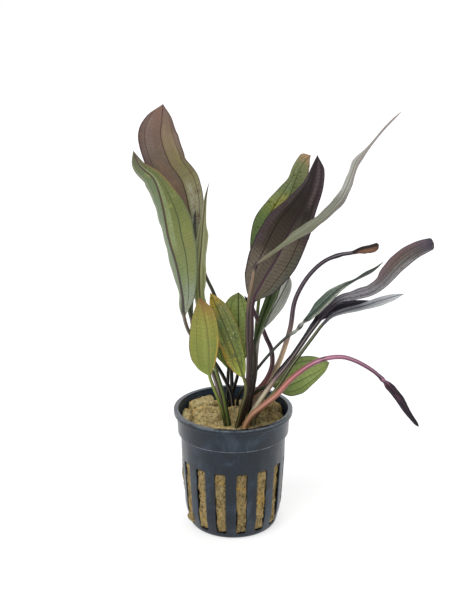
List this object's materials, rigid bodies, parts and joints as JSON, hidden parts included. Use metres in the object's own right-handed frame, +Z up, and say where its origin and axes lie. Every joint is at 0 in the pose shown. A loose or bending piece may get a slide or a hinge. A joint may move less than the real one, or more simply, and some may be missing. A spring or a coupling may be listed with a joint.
{
  "type": "potted echinodorus",
  "caption": "Water plant with long-stalked lance-shaped leaves in a slotted net pot of mineral wool; stands on its flat base.",
  "frame": {"origin": "middle of the pot's flat bottom", "axes": "+Z up along the pot's axis, -Y is the side seen from the front, +X to the right of it"},
  "size_m": [0.1331, 0.0549, 0.1935],
  "materials": {
    "pot_plastic": "satin",
    "mineral_wool": "matte",
    "rootstock": "matte",
    "bronze_leaf": "satin",
    "green_leaf": "satin",
    "purple_leaf": "satin",
    "silver_leaf": "satin",
    "yellow_leaf": "satin",
    "stalk": "satin"
  },
  "bodies": {
    "root": {"pot": "pot_plastic", "wool_plug": "mineral_wool", "crown": "rootstock", "leaf_tall_bronze": "bronze_leaf", "leaf_left_green": "green_leaf", "leaf_left_narrow": "green_leaf", "leaf_left_hooked": "green_leaf", "leaf_back_green": "green_leaf", "leaf_centre_purple": "purple_leaf", "leaf_long_twisted": "silver_leaf", "leaf_centre_folded": "green_leaf", "leaf_centre_silver": "silver_leaf", "leaf_front_yellow": "yellow_leaf", "leaf_front_spotted": "yellow_leaf", "leaf_front_green": "green_leaf", "leaf_front_low": "green_leaf", "leaf_arched_withered": "stalk", "leaf_right_green": "green_leaf", "leaf_right_bronze": "bronze_leaf", "leaf_right_silver": "silver_leaf", "leaf_right_dark": "purple_leaf", "leaf_low_green": "green_leaf", "leaf_drooping_new": "stalk", "stalk_dark_curved": "stalk"}
  },
  "joints": []
}
